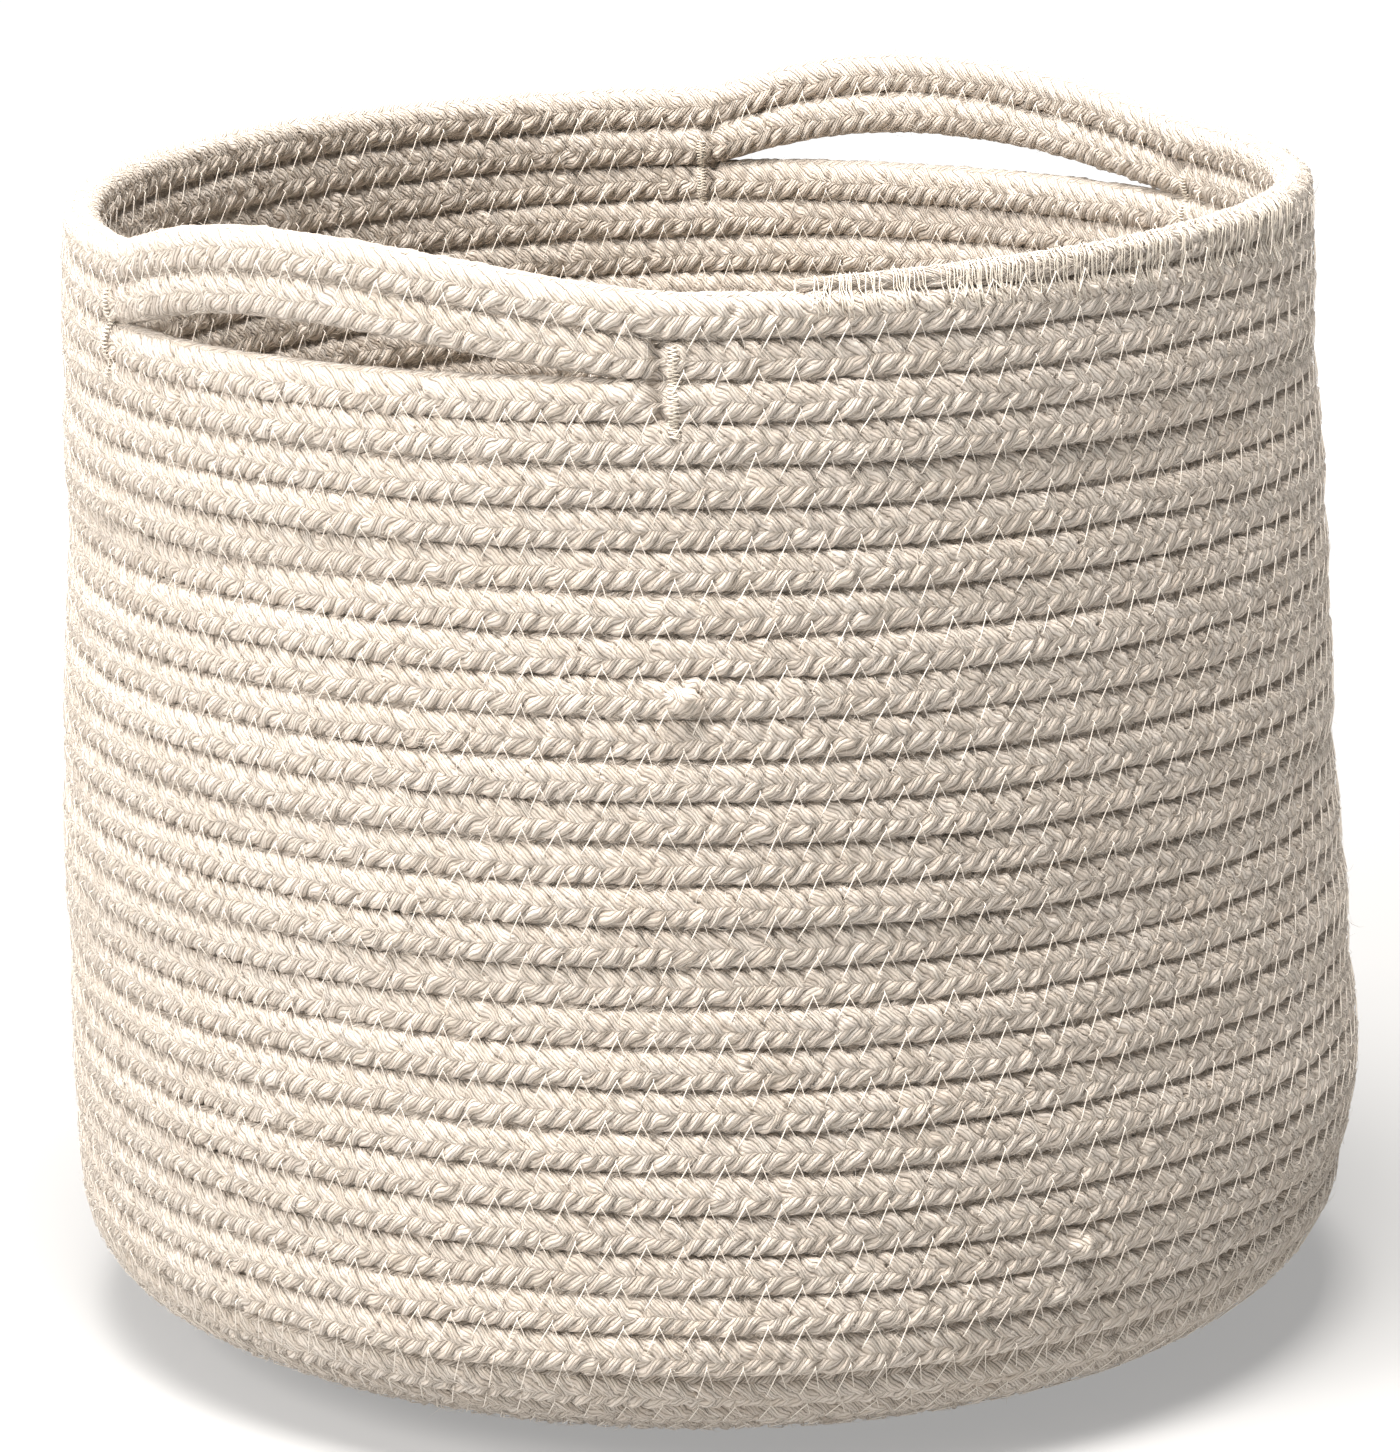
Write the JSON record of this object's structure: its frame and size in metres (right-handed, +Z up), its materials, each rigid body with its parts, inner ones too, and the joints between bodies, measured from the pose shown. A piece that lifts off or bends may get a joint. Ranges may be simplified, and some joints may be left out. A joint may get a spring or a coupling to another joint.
{
  "type": "laundry basket",
  "caption": "Round coiled-rope laundry and storage basket, open at the top, with rounded base and a hand slot between rope courses on two opposite sides.",
  "frame": {"origin": "centre of the flat underside, on the floor the basket stands on", "axes": "+Z up through the open top; the front hand slot is at -Y and the rear one at +Y; the hinge chords of both handles run along X"},
  "size_m": [0.3483, 0.3521, 0.3194],
  "materials": {
    "rope_cotton": "undyed braided cotton rope, soft matte nap",
    "tack_thread": "undyed cotton thread worked as dense satin stitch"
  },
  "bodies": {
    "basket": {"bar_tack_front_left": "tack_thread", "bar_tack_front_right": "tack_thread", "bar_tack_rear_left": "tack_thread", "bar_tack_rear_right": "tack_thread", "base_coil_centre": "rope_cotton", "base_coil_inner": "rope_cotton", "base_coil_outer": "rope_cotton", "corner_courses_27_29": "rope_cotton", "corner_courses_30_32": "rope_cotton", "corner_courses_33_36": "rope_cotton", "rim_left_lower_course": "rope_cotton", "rim_left_upper_course": "rope_cotton", "rim_right_lower_course": "rope_cotton", "rim_right_upper_course": "rope_cotton", "sill_course": "rope_cotton", "wall_courses_04_05": "rope_cotton", "wall_courses_06_08": "rope_cotton", "wall_courses_09_11": "rope_cotton", "wall_courses_12_14": "rope_cotton", "wall_courses_15_17": "rope_cotton", "wall_courses_18_20": "rope_cotton", "wall_courses_21_23": "rope_cotton", "wall_courses_24_26": "rope_cotton"},
    "front_handle": {"handle_front_lower_course": "rope_cotton", "handle_front_upper_course": "rope_cotton"},
    "rear_handle": {"handle_rear_lower_course": "rope_cotton", "handle_rear_upper_course": "rope_cotton"}
  },
  "joints": [
    {"name": "front_handle_flex", "type": "hinge", "parent": "basket", "child": "front_handle", "pos_m": [-0.0004, -0.1428, 0.2732], "axis": [1, 0, 0], "range_deg": [-20, 8], "stiffness_Nm_per_rad": 0.2},
    {"name": "rear_handle_flex", "type": "hinge", "parent": "basket", "child": "rear_handle", "pos_m": [-0.0004, 0.1327, 0.2868], "axis": [-1, 0, 0], "range_deg": [-20, 8], "stiffness_Nm_per_rad": 0.2}
  ]
}
